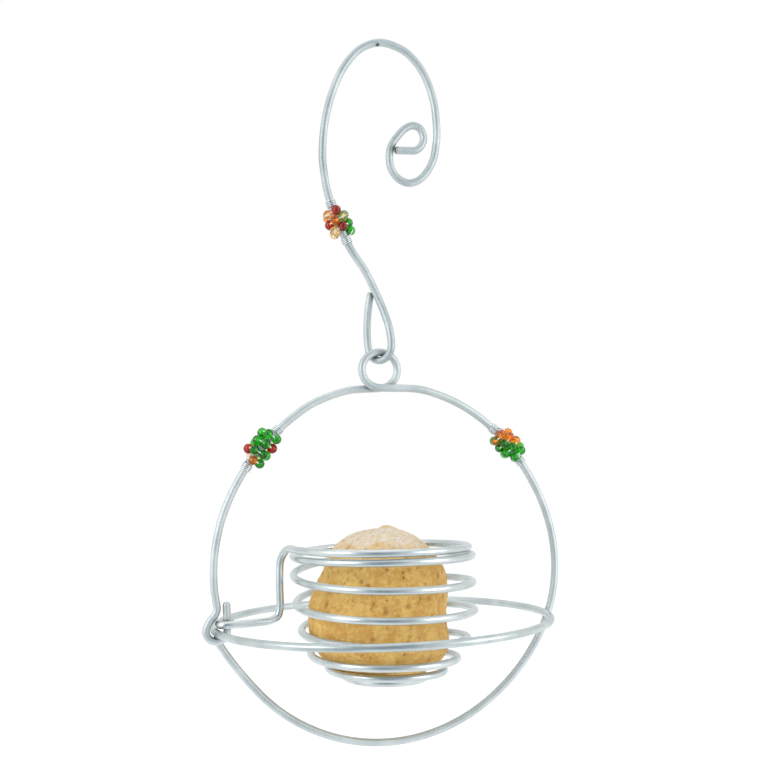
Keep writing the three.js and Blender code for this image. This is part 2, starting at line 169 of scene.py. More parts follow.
def drawn_wire_tree():
    """A round wire drawn along a line, with its length and its turn kept for the finish."""
    tree = bpy.data.node_groups.new("drawn_wire", "GeometryNodeTree")
    start, end = ways_in(tree, [
        ("Line", "INPUT", "NodeSocketGeometry"),
        ("Radius", "INPUT", "NodeSocketFloat"),
        ("Sides", "INPUT", "NodeSocketInt"),
        ("Finish", "INPUT", "NodeSocketMaterial"),
        ("Wire", "OUTPUT", "NodeSocketGeometry"),
    ])
    line = put(tree, "GeometryNodeMeshToCurve", {"Mesh": (start, "Line")})
    reached = put(tree, "GeometryNodeSplineParameter")
    measured = put(tree, "GeometryNodeStoreNamedAttribute", {
        "Geometry": (line, "Curve"), "Name": "along", "Value": (reached, "Length"),
    }, data_type="FLOAT", domain="POINT")
    circle = put(tree, "GeometryNodeCurvePrimitiveCircle", {
        "Resolution": (start, "Sides"), "Radius": (start, "Radius"),
    })
    place = put(tree, "GeometryNodeInputPosition")
    turned = put(tree, "GeometryNodeStoreNamedAttribute", {
        "Geometry": (circle, "Curve"), "Name": "around", "Value": (place, "Position"),
    }, data_type="FLOAT_VECTOR", domain="POINT")
    girth = put(tree, "GeometryNodeInputNamedAttribute", {"Name": "girth"}, data_type="FLOAT")
    wire = put(tree, "GeometryNodeCurveToMesh", {
        "Curve": (measured, "Geometry"), "Profile Curve": (turned, "Geometry"),
        "Scale": (girth, "Attribute"), "Fill Caps": True,
    })
    smooth = put(tree, "GeometryNodeSetShadeSmooth", {"Geometry": (wire, "Mesh")})
    real = put(tree, "GeometryNodeRealizeInstances", {"Geometry": (smooth, "Geometry")})
    put_on = put(tree, "GeometryNodeSetMaterial", {
        "Geometry": (real, "Geometry"), "Material": (start, "Finish"),
    })
    link(tree, (put_on, "Geometry"), end.inputs["Wire"])
    return tree


drawn_wire = drawn_wire_tree()
# How an end narrows: the distance from its tip and the girth there, as shares of the wire's radius.
CUT_END = ((0.0, 0.42), (0.04, 0.62), (0.12, 0.8), (0.26, 0.92), (0.46, 0.985), (0.7, 1.0))
ROUND_END = ((0.0, 0.12), (0.05, 0.36), (0.16, 0.6), (0.36, 0.81), (0.6, 0.94), (0.86, 1.0))
PAST_END = 0.9
wire_lines = {}


def wire_piece(name, line, diameter, finish, sides=WIRE_SIDES, closed=False, tip=CUT_END):
    """A wire along a line in mm. Its cut ends are rounded over, as a tumbled and dipped end is."""
    radius = diameter / 2
    girth = np.ones(len(line))
    if not closed:
        reaches, shares = np.array(tip).T
        caps = []
        for last, inner in ((line[0], line[1]), (line[-1], line[-2])):
            inward = (inner - last) / np.linalg.norm(inner - last)
            caps.append(last + inward * radius * reaches[:, None])
        inside = [np.linalg.norm(line - last, axis=1) > radius * PAST_END for last in (line[0], line[-1])]
        line = np.vstack([caps[0], line[inside[0] & inside[1]], caps[1][::-1]])
        girth = np.ones(len(line))
        girth[:len(shares)] = shares
        girth[-len(shares):] = shares[::-1]
    count = len(line)
    edges = [(i, i + 1) for i in range(count - 1)] + ([(count - 1, 0)] if closed else [])
    mesh = bpy.data.meshes.new(name + "_line")
    mesh.from_pydata((line * MM).tolist(), edges, [])
    mesh.attributes.new("girth", "FLOAT", "POINT").data.foreach_set("value", girth)
    values = {"Radius": radius * MM, "Sides": sides, "Finish": finish}
    made = made_by(drawn_wire, shown(name + "_line", mesh), name, values)
    wire_lines[name] = (made, line, radius)
    return made


def worked(tree, operation, *terms):
    """One step of a sum, as a (node, output) pair."""
    return (put(tree, "ShaderNodeMath", dict(enumerate(terms)), operation=operation), "Value")


def ranged(tree, value, low, high, first=0.0, last=1.0, kind="LINEAR"):
    """A value carried over from one range to another, as a (node, output) pair."""
    return (put(tree, "ShaderNodeMapRange", {
        "Value": value, "From Min": low, "From Max": high, "To Min": first, "To Max": last,
    }, interpolation_type=kind), "Result")


def tinted(tree, share, first, second):
    """A colour that turns to a second one by a share, as a (node, output) pair."""
    return (put(tree, "ShaderNodeMix", {
        "Factor_Float": share, "A_Color": first, "B_Color": second,
    }, data_type="RGBA"), "Result_Color")


def cloudy(tree, place, scale, detail, roughness=0.5):
    """Soft clouds at so many to the metre, as a (node, output) pair."""
    return (put(tree, "ShaderNodeTexNoise", {
        "Vector": place, "Scale": scale, "Detail": detail, "Roughness": roughness,
    }), "Fac")


STREAK_STRETCH = 0.05
STREAK_SHARE = 0.72
BLOOM_DULLS = 0.16
CONTACT_DULLS = 0.3


def zinc_group():
    """Drawn zinc: soft streaks along the wire, a faint bloom, and painted shade where wires touch:
    near-black colour and more roughness.
    """
    tree = bpy.data.node_groups.new("zinc_skin", "ShaderNodeTree")
    start, end = ways_in(tree, [
        ("Along", "INPUT", "NodeSocketFloat"),
        ("Around", "INPUT", "NodeSocketVector"),
        ("Place", "INPUT", "NodeSocketVector"),
        ("Contact", "INPUT", "NodeSocketFloat"),
        ("Light", "INPUT", "NodeSocketColor"),
        ("Dark", "INPUT", "NodeSocketColor"),
        ("Painted Shade Colour", "INPUT", "NodeSocketColor"),
        ("Least Roughness", "INPUT", "NodeSocketFloat"),
        ("Colour", "OUTPUT", "NodeSocketColor"),
        ("Roughness", "OUTPUT", "NodeSocketFloat"),
        ("Height", "OUTPUT", "NodeSocketFloat"),
    ])
    drawn = worked(tree, "MULTIPLY", (start, "Along"), STREAK_STRETCH)
    across = put(tree, "ShaderNodeSeparateXYZ", {"Vector": (start, "Around")})
    skin = put(tree, "ShaderNodeCombineXYZ", {"X": (across, "X"), "Y": (across, "Y"), "Z": drawn})
    streaks = cloudy(tree, (skin, "Vector"), scale=620.0, detail=3.0, roughness=0.55)
    draw_lines = cloudy(tree, (skin, "Vector"), scale=2600.0, detail=2.0)
    bloom = cloudy(tree, (start, "Place"), scale=90.0, detail=3.0, roughness=0.55)
    shade = ranged(tree, worked(tree, "MULTIPLY_ADD", streaks, STREAK_SHARE, bloom), low=0.62, high=1.10)
    metal = tinted(tree, shade, (start, "Dark"), (start, "Light"))
    bloomed = worked(tree, "MULTIPLY_ADD", bloom, BLOOM_DULLS, (start, "Least Roughness"))
    rough = worked(tree, "MULTIPLY_ADD", (start, "Contact"), CONTACT_DULLS, bloomed)
    # Painted shade: where the mark is high, the colour turns to the near-black shade colour.
    link(tree, tinted(tree, (start, "Contact"), metal, (start, "Painted Shade Colour")), end.inputs["Colour"])
    link(tree, rough, end.inputs["Roughness"])
    link(tree, draw_lines, end.inputs["Height"])
    return tree


zinc_skin = zinc_group()
ZINC_LIGHT = (0.62, 0.682, 0.688, 1)
ZINC_DARK = (0.42, 0.482, 0.492, 1)
# Near-black painted shade for where wires touch and for the spot under the crown.
ZINC_PAINTED_SHADE = (0.075, 0.085, 0.085, 1)
DRAW_LINE_STRENGTH = 0.06
DRAW_LINE_DEPTH = 0.0001


def new_finish(name):
    finish = bpy.data.materials.new(name)
    finish.use_nodes = True
    return finish, finish.node_tree, finish.node_tree.nodes["Principled BSDF"]


def zinc_finish(name, light, dark, roughness, metallic):
    """Zinc on a drawn wire, from satin and weathered to smooth and bright."""
    finish, tree, shader = new_finish(name)

    def kept(attribute, output):
        return (put(tree, "ShaderNodeAttribute", attribute_name=attribute), output)

    skin = put(tree, "ShaderNodeGroup", {
        "Along": kept("along", "Fac"), "Around": kept("around", "Vector"),
        "Contact": kept("painted_shade_mark", "Fac"), "Place": (put(tree, "ShaderNodeTexCoord"), "Object"),
        "Light": light, "Dark": dark, "Painted Shade Colour": ZINC_PAINTED_SHADE, "Least Roughness": roughness,
    }, node_tree=zinc_skin)
    bump = put(tree, "ShaderNodeBump", {
        "Height": (skin, "Height"), "Strength": DRAW_LINE_STRENGTH, "Distance": DRAW_LINE_DEPTH,
    })
    link(tree, (skin, "Colour"), shader.inputs["Base Color"])
    link(tree, (skin, "Roughness"), shader.inputs["Roughness"])
    link(tree, (bump, "Normal"), shader.inputs["Normal"])
    shader.inputs["Metallic"].default_value = metallic
    return finish


zinc = zinc_finish("galvanised_wire", ZINC_LIGHT, ZINC_DARK, roughness=0.45, metallic=0.8)


def crook_point(degrees):
    side = CROOK_RIGHT if degrees < 90 else CROOK_LEFT
    across = math.cos(math.radians(degrees))
    up = abs(math.sin(math.radians(degrees)))
    power = 2 / side["fullness"]
    x = CROOK_X * math.copysign(abs(across) ** power, across)
    return point(x, 0, CROWN_Z - side["rise"] + side["rise"] * up ** power)


def teardrop_point(reach, rise):
    x = EYE_SIDE + reach * math.cos(TEARDROP_TURN)
    return point(x, -reach * math.sin(TEARDROP_TURN), EYE_Z + rise)


def teardrop_bend(degrees):
    turn = math.radians(degrees)
    rise = TEARDROP_FOOT + TEARDROP_RADIUS * (1 - math.cos(turn))
    return teardrop_point(TEARDROP_RADIUS * math.sin(turn), rise)


# The curl and the stem as shares of the curl's width, and of the crook's half width and the length.
curl_points = [
    point(CROOK_X + CURL_WIDTH * x, 0, CROWN_Z - CROOK_RIGHT["rise"] + CURL_WIDTH * z) for x, z in (
        (-0.878, -0.363), (-0.62, -0.352), (-0.43, -0.33), (-0.32, -0.225), (-0.28, -0.07),
        (-0.355, 0.105), (-0.5, 0.155), (-0.645, 0.1), (-0.8, -0.055), (-0.942, -0.265), (-0.99, -0.5),
        (-0.945, -0.745), (-0.79, -0.93), (-0.59, -0.995), (-0.38, -0.925), (-0.19, -0.725),
        (-0.07, -0.475), (-0.02, -0.21),
    )
]
stem_points = [
    point(CROOK_X * x, 0, CROWN_Z - HOOK_LENGTH * z)
    for x, z in ((-0.97, 0.41), (-0.886, 0.482), (-0.534, 0.629), (-0.263, 0.7))
]
stem_foot = point(EYE_SIDE + STEM_FOOT_ACROSS, 0, EYE_Z + STEM_FOOT_RISE)
tip_level = (TEARDROP_HEIGHT - STEM_FOOT_RISE) / (stem_points[-1][2] - stem_foot[2])
stem_by_tip = stem_foot + (stem_points[-1] - stem_foot) * tip_level
hook_line = bent_through([
    *curl_points,
    *[crook_point(degrees) for degrees in CROOK_BENDS],
    *stem_points,
    stem_foot,
    stem_foot + point(TEARDROP_RADIUS * 0.32, -TEARDROP_RADIUS * 0.32, -STEM_FOOT_RISE * 0.23),
    stem_foot + point(TEARDROP_RADIUS * 0.44, -TEARDROP_RADIUS * 0.62, -STEM_FOOT_RISE * 0.38),
    *[teardrop_bend(degrees) for degrees in TEARDROP_BENDS],
    teardrop_point(-TEARDROP_RADIUS * 1.08, TEARDROP_FOOT + TEARDROP_RADIUS * 2),
    point(EYE_SIDE - TEARDROP_RADIUS * 0.66, TEARDROP_RADIUS * 0.6, EYE_Z + TEARDROP_HEIGHT * 0.78),
    stem_by_tip + point(-SEAT * 0.25, SEAT, 0),
])
hook = wire_piece("hook_wire", evenly(hook_line, WIRE_STEP), WIRE, zinc)
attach(hook, "hook")
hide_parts("hanger_hook")

# Hoop. One length of the same wire, bent into a ring with a turned eye at the top for the hook, a
# small knot eye at the left and a stub that stands up in it. Its other end is tucked behind the knot.
# Its zinc is painted a little paler than the hook's: painted light, the same wire shown as more brightly
# lit.
HOOP_RADIUS = 77.1
EYE_SHIFT = -2.1
EYE_STRETCH = 1.06
FRAME_TILT = math.radians(1.71)
KNOT_RADIUS = 4.5
KNOT_OUT = 3.2
STUB_HEIGHT = 13.0
CROSSING_GAP = 0.55
CROSSING = WIRE + CROSSING_GAP
PERCH_Z = -24.5
HOOP_X = math.sqrt(HOOP_RADIUS ** 2 - PERCH_Z ** 2)
KNOT_X = -(HOOP_X + KNOT_OUT)
KNOT_Z = PERCH_Z - SEAT + KNOT_RADIUS
STUB_X = KNOT_X + KNOT_RADIUS
HANGING_EYE = point(EYE_SHIFT, 0, math.sqrt((HOOP_RADIUS + EYE_RADIUS) ** 2 - EYE_SHIFT ** 2))
KNOT_SIDE = 185
EYE_LEFT = 101
EYE_RIGHT = 79
CROSSING_RUN = 34
TUCK_FROM = -111
TUCK_RUN = 42
BEND_STEP = 6
# Painted light: the hook's zinc made paler, for the hoop and the cage, as if lit more brightly.
PAINTED_LIGHTER_ZINC_LIGHT = (0.685, 0.74, 0.745, 1)
PAINTED_LIGHTER_ZINC_DARK = (0.50, 0.56, 0.57, 1)
# Degrees round the hoop, and how far the wire strays outwards there, in thousandths of the radius.
hoop_bends = np.array([
    (-153, 31), (-144, 16), (-130, 13), (-88, -1), (-50, -8), (-10, 12), (30, -16),
    (46, -10), (75, 6), (108, 11), (116, 8), (126, -6), (146, -13.5), (165, -9), (186, 0),
], float)


def hung(line):
    """Moves a line from the hoop's own plane to where the hoop hangs from the hook, a little tilted."""
    line = np.array(line, float)
    out = line - HANGING_EYE
    x = EYE_SIDE + out[:, 0] * math.cos(FRAME_TILT) - out[:, 2] * math.sin(FRAME_TILT)
    z = EYE_Z + out[:, 0] * math.sin(FRAME_TILT) + out[:, 2] * math.cos(FRAME_TILT)
    return np.column_stack([x, out[:, 1], z])


def along(stations, place):
    """The values of a list of stations at a place, on a smooth curve through them."""
    last = len(stations) - 1
    after = min(max(int(np.searchsorted(stations[:, 0], place)), 1), last)
    slopes = []
    for index in (after - 1, after):
        low, high = stations[max(index - 1, 0)], stations[min(index + 1, last)]
        slopes.append((high[1:] - low[1:]) / (high[0] - low[0]))
    start, end = stations[after - 1], stations[after]
    width = end[0] - start[0]
    part = (place - start[0]) / width
    rest = 1 - part
    ends = start[1:] * rest ** 2 * (1 + 2 * part) + end[1:] * part ** 2 * (1 + 2 * rest)
    return ends + width * part * rest * (slopes[0] * rest - slopes[1] * part)


def hoop_point(degrees, depth=0.0):
    turn = math.radians(degrees)
    radius = HOOP_RADIUS * (1 + along(hoop_bends, degrees)[0] / 1000)
    return point(radius * math.cos(turn), depth, radius * math.sin(turn))


def hoop_run(first, last, count):
    return [hoop_point(degrees) for degrees in sweep(first, last, count)]


def knot_point(degrees):
    turn = math.radians(degrees)
    return point(KNOT_X + KNOT_RADIUS * math.cos(turn), 0, KNOT_Z + KNOT_RADIUS * math.sin(turn))


def eye_point(degrees):
    turn = math.radians(degrees)
    out = point(EYE_STRETCH * math.cos(turn), 0, math.sin(turn))
    return HANGING_EYE + out * EYE_RADIUS + point(0, CROSSING * (0.25 - degrees / 360), 0)


hoop_end = point(KNOT_X - WIRE * 0.2, CROSSING, PERCH_Z - WIRE / 2 - CLEARANCE)
to_eye = [
    hoop_point(degrees, CROSSING / 2 * (1 - (degrees - EYE_LEFT) / CROSSING_RUN))
    for degrees in sweep(EYE_LEFT + CROSSING_RUN - BEND_STEP, EYE_LEFT, 4)
]
from_eye = [
    hoop_point(degrees, -CROSSING / 2 * (1 - (EYE_RIGHT - degrees) / CROSSING_RUN))
    for degrees in sweep(EYE_RIGHT, EYE_RIGHT - CROSSING_RUN + BEND_STEP, 4)
]
tucked = [
    hoop_point(degrees, CROSSING * (TUCK_FROM - degrees) / TUCK_RUN)
    for degrees in sweep(TUCK_FROM - BEND_STEP, TUCK_FROM - TUCK_RUN, 6)
]
hoop_line = bent_through([
    point(STUB_X, 0, PERCH_Z + STUB_HEIGHT),
    point(STUB_X, 0, PERCH_Z + STUB_HEIGHT / 2),
    *[knot_point(degrees) for degrees in sweep(0, -180, 6)],
    point(KNOT_X - KNOT_RADIUS * 0.62, 0, KNOT_Z + KNOT_RADIUS * 0.92),
    point(KNOT_X - KNOT_RADIUS * 0.16, 0, KNOT_Z + KNOT_RADIUS * 1.42),
    point(KNOT_X + KNOT_RADIUS * 0.08, 0, KNOT_Z + KNOT_RADIUS * 1.95),
    point(KNOT_X + KNOT_RADIUS * 0.02, 0, KNOT_Z + KNOT_RADIUS * 2.8),
    *hoop_run(KNOT_SIDE, EYE_LEFT + CROSSING_RUN, 8),
    *to_eye,
    *[eye_point(degrees) for degrees in sweep(-90, 270, 18)],
    *from_eye,
    *hoop_run(EYE_RIGHT - CROSSING_RUN, TUCK_FROM, 26),
    *tucked,
    hoop_end,
])
painted_lighter_zinc = zinc_finish("painted_lighter_zinc_wire", PAINTED_LIGHTER_ZINC_LIGHT, PAINTED_LIGHTER_ZINC_DARK, roughness=0.45, metallic=0.8)
hoop = wire_piece("hoop_wire", hung(evenly(hoop_line, WIRE_STEP)), WIRE, painted_lighter_zinc, tip=ROUND_END)
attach(hoop, "frame")
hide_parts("hoop")

# Perch ring. A closed ring of the same wire that the birds stand on. It lies level in the bottom of
# the knot eye and rests against the inside of the hoop at the right, with its middle a little behind
# the hoop. Its zinc is smoother than the hook's.
PERCH_BACK = 4.0
PERCH_STEPS = 540
PERCH_TURN = -math.degrees(math.asin(-PERCH_Z / HOOP_RADIUS))
PERCH_RIGHT = hoop_point(PERCH_TURN)[0] - SEAT * HOOP_RADIUS / HOOP_X
PERCH_RADIUS = math.hypot((PERCH_RIGHT - KNOT_X) / 2, PERCH_BACK)
PERCH_X = (PERCH_RIGHT + KNOT_X) / 2
perch_turns = np.radians(sweep(0, 360, PERCH_STEPS)[:-1])
perch_line = np.column_stack([
    PERCH_X + PERCH_RADIUS * np.cos(perch_turns),
    PERCH_BACK + PERCH_RADIUS * np.sin(perch_turns),
    np.full(len(perch_turns), PERCH_Z),
])
satin_zinc = zinc_finish("satin_zinc_wire", ZINC_LIGHT, ZINC_DARK, roughness=0.29, metallic=0.92)
perch = wire_piece("perch_wire", hung(perch_line), WIRE, satin_zinc, closed=True)
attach(perch, "frame")
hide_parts("perch_ring")

# Cage. One wire whose end is wrapped round the hoop's stub, runs out as an arm, rises as a post and
# is wound on a former into a cup: two close turns at the rim, open turns below and a flat floor. Its
# zinc is the smoothest, and painted paler than the hook's as painted light.
CAGE_RADIUS = 38.9
CAGE_SHIFT = -3.2
RIM_HEIGHT = 9.2
RIM_PITCH = 4.0
BODY_PITCH = 12.2
LEAN_TURN = 0.15
COIL_STEPS = 200
CAGE_STEP = 0.7
ARM_Z = PERCH_Z + SEAT
POST_OUT = 7.1
POST_X = CAGE_SHIFT - CAGE_RADIUS - POST_OUT
# Turns from the post, drop in rim pitches and in body pitches, width, shift to the right, and lean.
winding = np.array([
    (0.04, 0, 0, 1.051, 0, 0),
    (0.5, 0.5, 0, 0.954, 0, 0),
    (1.0, 1.0, 0, 1, 0, 0),
    (1.5, 1.5, 0, 1, 0, 0.016),
    (2.0, 1.5, 0.5, 1, 0, 0.115),
    (3.0, 1.5, 1.5, 0.99, 0.01, 0.115),
    (3.5, 1.5, 2.0, 0.995, 0.015, 0.115),
    (4.0, 1.5, 2.5, 0.949, 0.026, 0.057),
    (5.0, 1.5, 3.34, 0.841, 0.015, 0.025),
    (6.0, 1.5, 3.86, 0.685, 0.052, 0),
    (7.0, 1.5, 4.18, 0.491, 0.049, 0),
    (8.25, 1.5, 4.29, 0.19, 0.051, 0),
])


def coil_point(turn):
    rim_drop, body_drop, wide, shift, lean = along(winding, turn)
    angle = math.pi * (1 + 2 * turn)
    radius = CAGE_RADIUS * wide
    hang = lean * math.cos(2 * math.pi * (turn - LEAN_TURN))
    x = CAGE_SHIFT + CAGE_RADIUS * shift + radius * math.cos(angle)
    z = RIM_HEIGHT - RIM_PITCH * rim_drop - BODY_PITCH * (body_drop + hang)
    return point(x, radius * math.sin(angle), z)


arm_loop = [
    point(STUB_X + SEAT * math.cos(math.radians(degrees)), SEAT * math.sin(math.radians(degrees)), ARM_Z)
    for degrees in sweep(35, 270, 8)
]
cage_line = bent_through([
    *arm_loop,
    point((STUB_X + POST_X) / 2, -SEAT * 0.6, ARM_Z),
    point(POST_X - WIRE * 1.3, -SEAT * 0.2, ARM_Z + WIRE * 0.1),
    point(POST_X - WIRE * 0.35, 0, ARM_Z + WIRE * 0.5),
    point(POST_X, 0, ARM_Z + WIRE * 1.4),
    point(POST_X + WIRE * 0.06, 0, (ARM_Z + RIM_HEIGHT) / 2),
    point(POST_X + WIRE * 0.3, -WIRE * 0.12, RIM_HEIGHT - WIRE * 1.3),
    point(POST_X + WIRE, -WIRE * 0.9, RIM_HEIGHT),
    *[coil_point(turn) for turn in sweep(winding[0, 0], winding[-1, 0], COIL_STEPS)],
])
smooth_painted_lighter_zinc = zinc_finish(
    "smooth_painted_lighter_zinc_wire", PAINTED_LIGHTER_ZINC_LIGHT, PAINTED_LIGHTER_ZINC_DARK, roughness=0.22, metallic=0.95
)
cage = wire_piece("cage_wire_coil", hung(evenly(cage_line, CAGE_STEP)), WIRE, smooth_painted_lighter_zinc)
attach(cage, "cage")
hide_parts("cage_wire")

# Painted contact shade. Where two wires lie against each other the zinc is painted near black, as
# painted shade, and its roughness is raised; under the crook's crown a dark spot is painted the same way.
# Each wire keeps a mark of how near its skin is to another wire, to its own next turn or to that spot.
CONTACT_NEAR = 0.15
CONTACT_FAR = 2.2
OWN_RUN = 9.0
CROWN_SPOT = point(-1.6, -0.9, CROWN_Z - 1.35)
CROWN_SPOT_WIDTH = 1.5
CROWN_SPOT_STRENGTH = 1.6


def mark_painted_shade(pieces, open_turns):
    """Marks each wire's skin for painted shade by its distance to the other wires, apart from turns that
    stand open.
    """
    rows = []
    for number, name in enumerate(pieces):
        _, line, radius = wire_lines[name]
        rows += [(spot, number, reached, radius) for spot, reached in zip(line, lengths_along(line))]
    near = KDTree(len(rows))
    for index, row in enumerate(rows):
        near.insert(row[0], index)
    near.balance()
    for number, name in enumerate(pieces):
        made, line, radius = wire_lines[name]
        run = lengths_along(line)
        count = len(made.data.vertices)
        skin = np.empty(count * 3)
        made.data.vertices.foreach_get("co", skin)
        skin = skin.reshape(-1, 3) / MM
        sides = count // len(line)
        marks = np.zeros(count)
        for index in range(count):
            own = run[min(index // sides, len(line) - 1)]
            gap = CONTACT_FAR
            for _, other, distance in near.find_range(skin[index], radius + CONTACT_FAR):
                _, wire, reached, thick = rows[other]
                if wire == number and (name in open_turns or abs(reached - own) < OWN_RUN):
                    continue
                gap = min(gap, distance - thick)
            touch = (CONTACT_FAR - gap) / (CONTACT_FAR - CONTACT_NEAR)
            crown_spot = (1 - np.linalg.norm(skin[index] - CROWN_SPOT) / CROWN_SPOT_WIDTH) * CROWN_SPOT_STRENGTH
            # Painted shade: the mark grows as another wire or the crown spot comes near.
            marks[index] = min(max(touch, crown_spot, 0), 1) ** 2
        made.data.attributes.new("painted_shade_mark", "FLOAT", "POINT").data.foreach_set("value", marks)


mark_painted_shade(["hook_wire", "hoop_wire", "perch_wire", "cage_wire_coil"], ["cage_wire_coil", "perch_wire"])

# Bead clusters. A thin bright wire is wound tight on the main wire, carries small glass beads
# round it in open turns and is wound tight again, which keeps the beads from sliding.
BINDING_WIRE = 0.7
BINDING_SIDES = 10
BINDING_STEP = 0.25
# The binding wire's colours are painted lighter, as painted light that offsets the shade between its close
# turns.
BINDING_LIGHT = (0.80, 0.85, 0.87, 1)
BINDING_DARK = (0.60, 0.66, 0.68, 1)
BEAD_DIAMETER = 4.35
BEAD_LENGTH = 3.9
BEAD_HOLE = 1.1
BEAD_SIDES = 24
BEAD_RINGS = 14
BEAD_WELD = 0.00001
SMALLEST_BEAD = 0.94
LARGEST_BEAD = 1.03
BEADS_PER_TURN = 5.5
BEAD_TURN = 2 * math.pi / BEADS_PER_TURN
BEAD_REACH = 3.86
BEAD_PITCH = 4.1
HOOK_PITCH = BEAD_PITCH * 0.9
LEFT_PITCH = BEAD_PITCH * 1.05
RIGHT_PITCH = BEAD_PITCH * 0.96
HOOK_BEADS_SHARE = 0.5
LEFT_BEADS_AT = 136.4
RIGHT_BEADS_AT = 42.25
BINDING_TURNS = 4
WINDING_STEPS = 12
WINDING_GAP = 0.04
WINDING_PITCH = BINDING_WIRE + WINDING_GAP
WINDING_REACH = WIRE / 2 + BINDING_WIRE / 2
TO_WINDING = 2.0
FINE_STEP = 0.1
GLASS = {
    "green": ((0.004, 0.28, 0.004, 1), (0.030, 0.58, 0.022, 1)),
    "orange": ((1.0, 0.26, 0.004, 1), (1.0, 0.40, 0.02, 1)),
    "amber": ((0.86, 0.52, 0.17, 1), (0.97, 0.80, 0.50, 1)),
    "red": ((0.26, 0.004, 0.001, 1), (0.56, 0.018, 0.002, 1)),
}
GLASS_IOR = 1.5
GLASS_CLEAR = 0.92
HOOK_BEADS = (
    "red amber orange green green amber orange red amber green green red amber amber amber green"
).split()
LEFT_BEADS = (
    "orange green amber amber red green green green green green green green red amber green green "
    "green green"
).split()
RIGHT_BEADS = (
    "orange orange green orange orange orange green green orange amber orange green green green "
    "amber green green green"
).split()
painted_lighter_binding = zinc_finish("binding_wire", BINDING_LIGHT, BINDING_DARK, roughness=0.26, metallic=0.92)


def glass_finish(name, deep, pale):
    """Pressed glass: clear, a little cloudy inside, no two beads quite alike."""
    finish, tree, shader = new_finish(name)
    place = (put(tree, "ShaderNodeTexCoord"), "Object")
    cloud = cloudy(tree, place, scale=260.0, detail=1.0)
    own = put(tree, "ShaderNodeAttribute", attribute_name="bead_shade")
    share = ranged(tree, worked(tree, "ADD", cloud, (own, "Fac")), low=0.3, high=1.4)
    link(tree, tinted(tree, share, deep, pale), shader.inputs["Base Color"])
    rough = ranged(tree, cloud, low=0.0, high=1.0, first=0.0, last=0.06)
    link(tree, rough, shader.inputs["Roughness"])
    shader.inputs["IOR"].default_value = GLASS_IOR
    shader.inputs["Transmission Weight"].default_value = GLASS_CLEAR
    return finish


glass = {colour: glass_finish(colour + "_glass", *shades) for colour, shades in GLASS.items()}


def strung_beads_tree():
    """A barrel of glass with a hole on each seat, turned to its thread, each a little different."""
    tree = bpy.data.node_groups.new("strung_beads", "GeometryNodeTree")
    start, end = ways_in(tree, [
        ("Seats", "INPUT", "NodeSocketGeometry"),
        ("Radius", "INPUT", "NodeSocketFloat"),
        ("Length", "INPUT", "NodeSocketFloat"),
        ("Hole Radius", "INPUT", "NodeSocketFloat"),
        ("Hole Turn", "INPUT", "NodeSocketFloat"),
        ("Seed", "INPUT", "NodeSocketInt"),
        ("Glass", "INPUT", "NodeSocketMaterial"),
        ("Beads", "OUTPUT", "NodeSocketGeometry"),
    ])
    skin = put(tree, "GeometryNodeMeshCylinder", {
        "Vertices": BEAD_SIDES, "Side Segments": BEAD_RINGS, "Radius": 1.0, "Depth": 2.0,
    }, fill_type="NONE")
    place = put(tree, "GeometryNodeInputPosition")
    at = put(tree, "ShaderNodeSeparateXYZ", {"Vector": (place, "Position")})
    turn = worked(tree, "MULTIPLY", (at, "Z"), (start, "Hole Turn"))
    girth = worked(tree, "MULTIPLY", worked(tree, "COSINE", turn), (start, "Radius"))
    hole_sine = worked(tree, "SINE", (start, "Hole Turn"))
    steep = worked(tree, "DIVIDE", worked(tree, "SINE", turn), hole_sine)
    half = worked(tree, "MULTIPLY", (start, "Length"), 0.5)
    bulged = put(tree, "ShaderNodeCombineXYZ", {
        "X": worked(tree, "MULTIPLY", (at, "X"), girth),
        "Y": worked(tree, "MULTIPLY", (at, "Y"), girth),
        "Z": worked(tree, "MULTIPLY", steep, half),
    })
    barrel = put(tree, "GeometryNodeSetPosition", {
        "Geometry": (skin, "Mesh"), "Position": (bulged, "Vector"),
    })
    hole = put(tree, "GeometryNodeMeshCylinder", {
        "Vertices": BEAD_SIDES, "Side Segments": 1,
        "Radius": (start, "Hole Radius"), "Depth": (start, "Length"),
    }, fill_type="NONE")
    inside = put(tree, "GeometryNodeFlipFaces", {"Mesh": (hole, "Mesh")})
    both = put(tree, "GeometryNodeJoinGeometry", {"Geometry": (barrel, "Geometry")})
    link(tree, (inside, "Mesh"), both.inputs["Geometry"])
    bead = put(tree, "GeometryNodeMergeByDistance", {
        "Geometry": (both, "Geometry"), "Distance": BEAD_WELD,
    })
    thread = put(tree, "GeometryNodeInputNamedAttribute", {"Name": "thread"}, data_type="FLOAT_VECTOR")
    aimed = put(tree, "FunctionNodeAlignRotationToVector", {"Vector": (thread, "Attribute")}, axis="Z")
    size = put(tree, "FunctionNodeRandomValue", {
        "Min_001": SMALLEST_BEAD, "Max_001": LARGEST_BEAD, "Seed": (start, "Seed"),
    }, data_type="FLOAT")
    strung = put(tree, "GeometryNodeInstanceOnPoints", {
        "Points": (start, "Seats"), "Instance": (bead, "Geometry"),
        "Rotation": (aimed, "Rotation"), "Scale": (size, "Value_001"),
    })
    shade = put(tree, "FunctionNodeRandomValue", {
        "Min_001": 0.0, "Max_001": 1.0, "Seed": (start, "Seed"),
    }, data_type="FLOAT")
    shaded = put(tree, "GeometryNodeStoreNamedAttribute", {
        "Geometry": (strung, "Instances"), "Name": "bead_shade", "Value": (shade, "Value_001"),
    }, data_type="FLOAT", domain="INSTANCE")
    real = put(tree, "GeometryNodeRealizeInstances", {"Geometry": (shaded, "Geometry")})
    smooth = put(tree, "GeometryNodeSetShadeSmooth", {"Geometry": (real, "Geometry")})
    put_on = put(tree, "GeometryNodeSetMaterial", {
        "Geometry": (smooth, "Geometry"), "Material": (start, "Glass"),
    })
    link(tree, (put_on, "Geometry"), end.inputs["Beads"])
    return tree


strung_beads = strung_beads_tree()


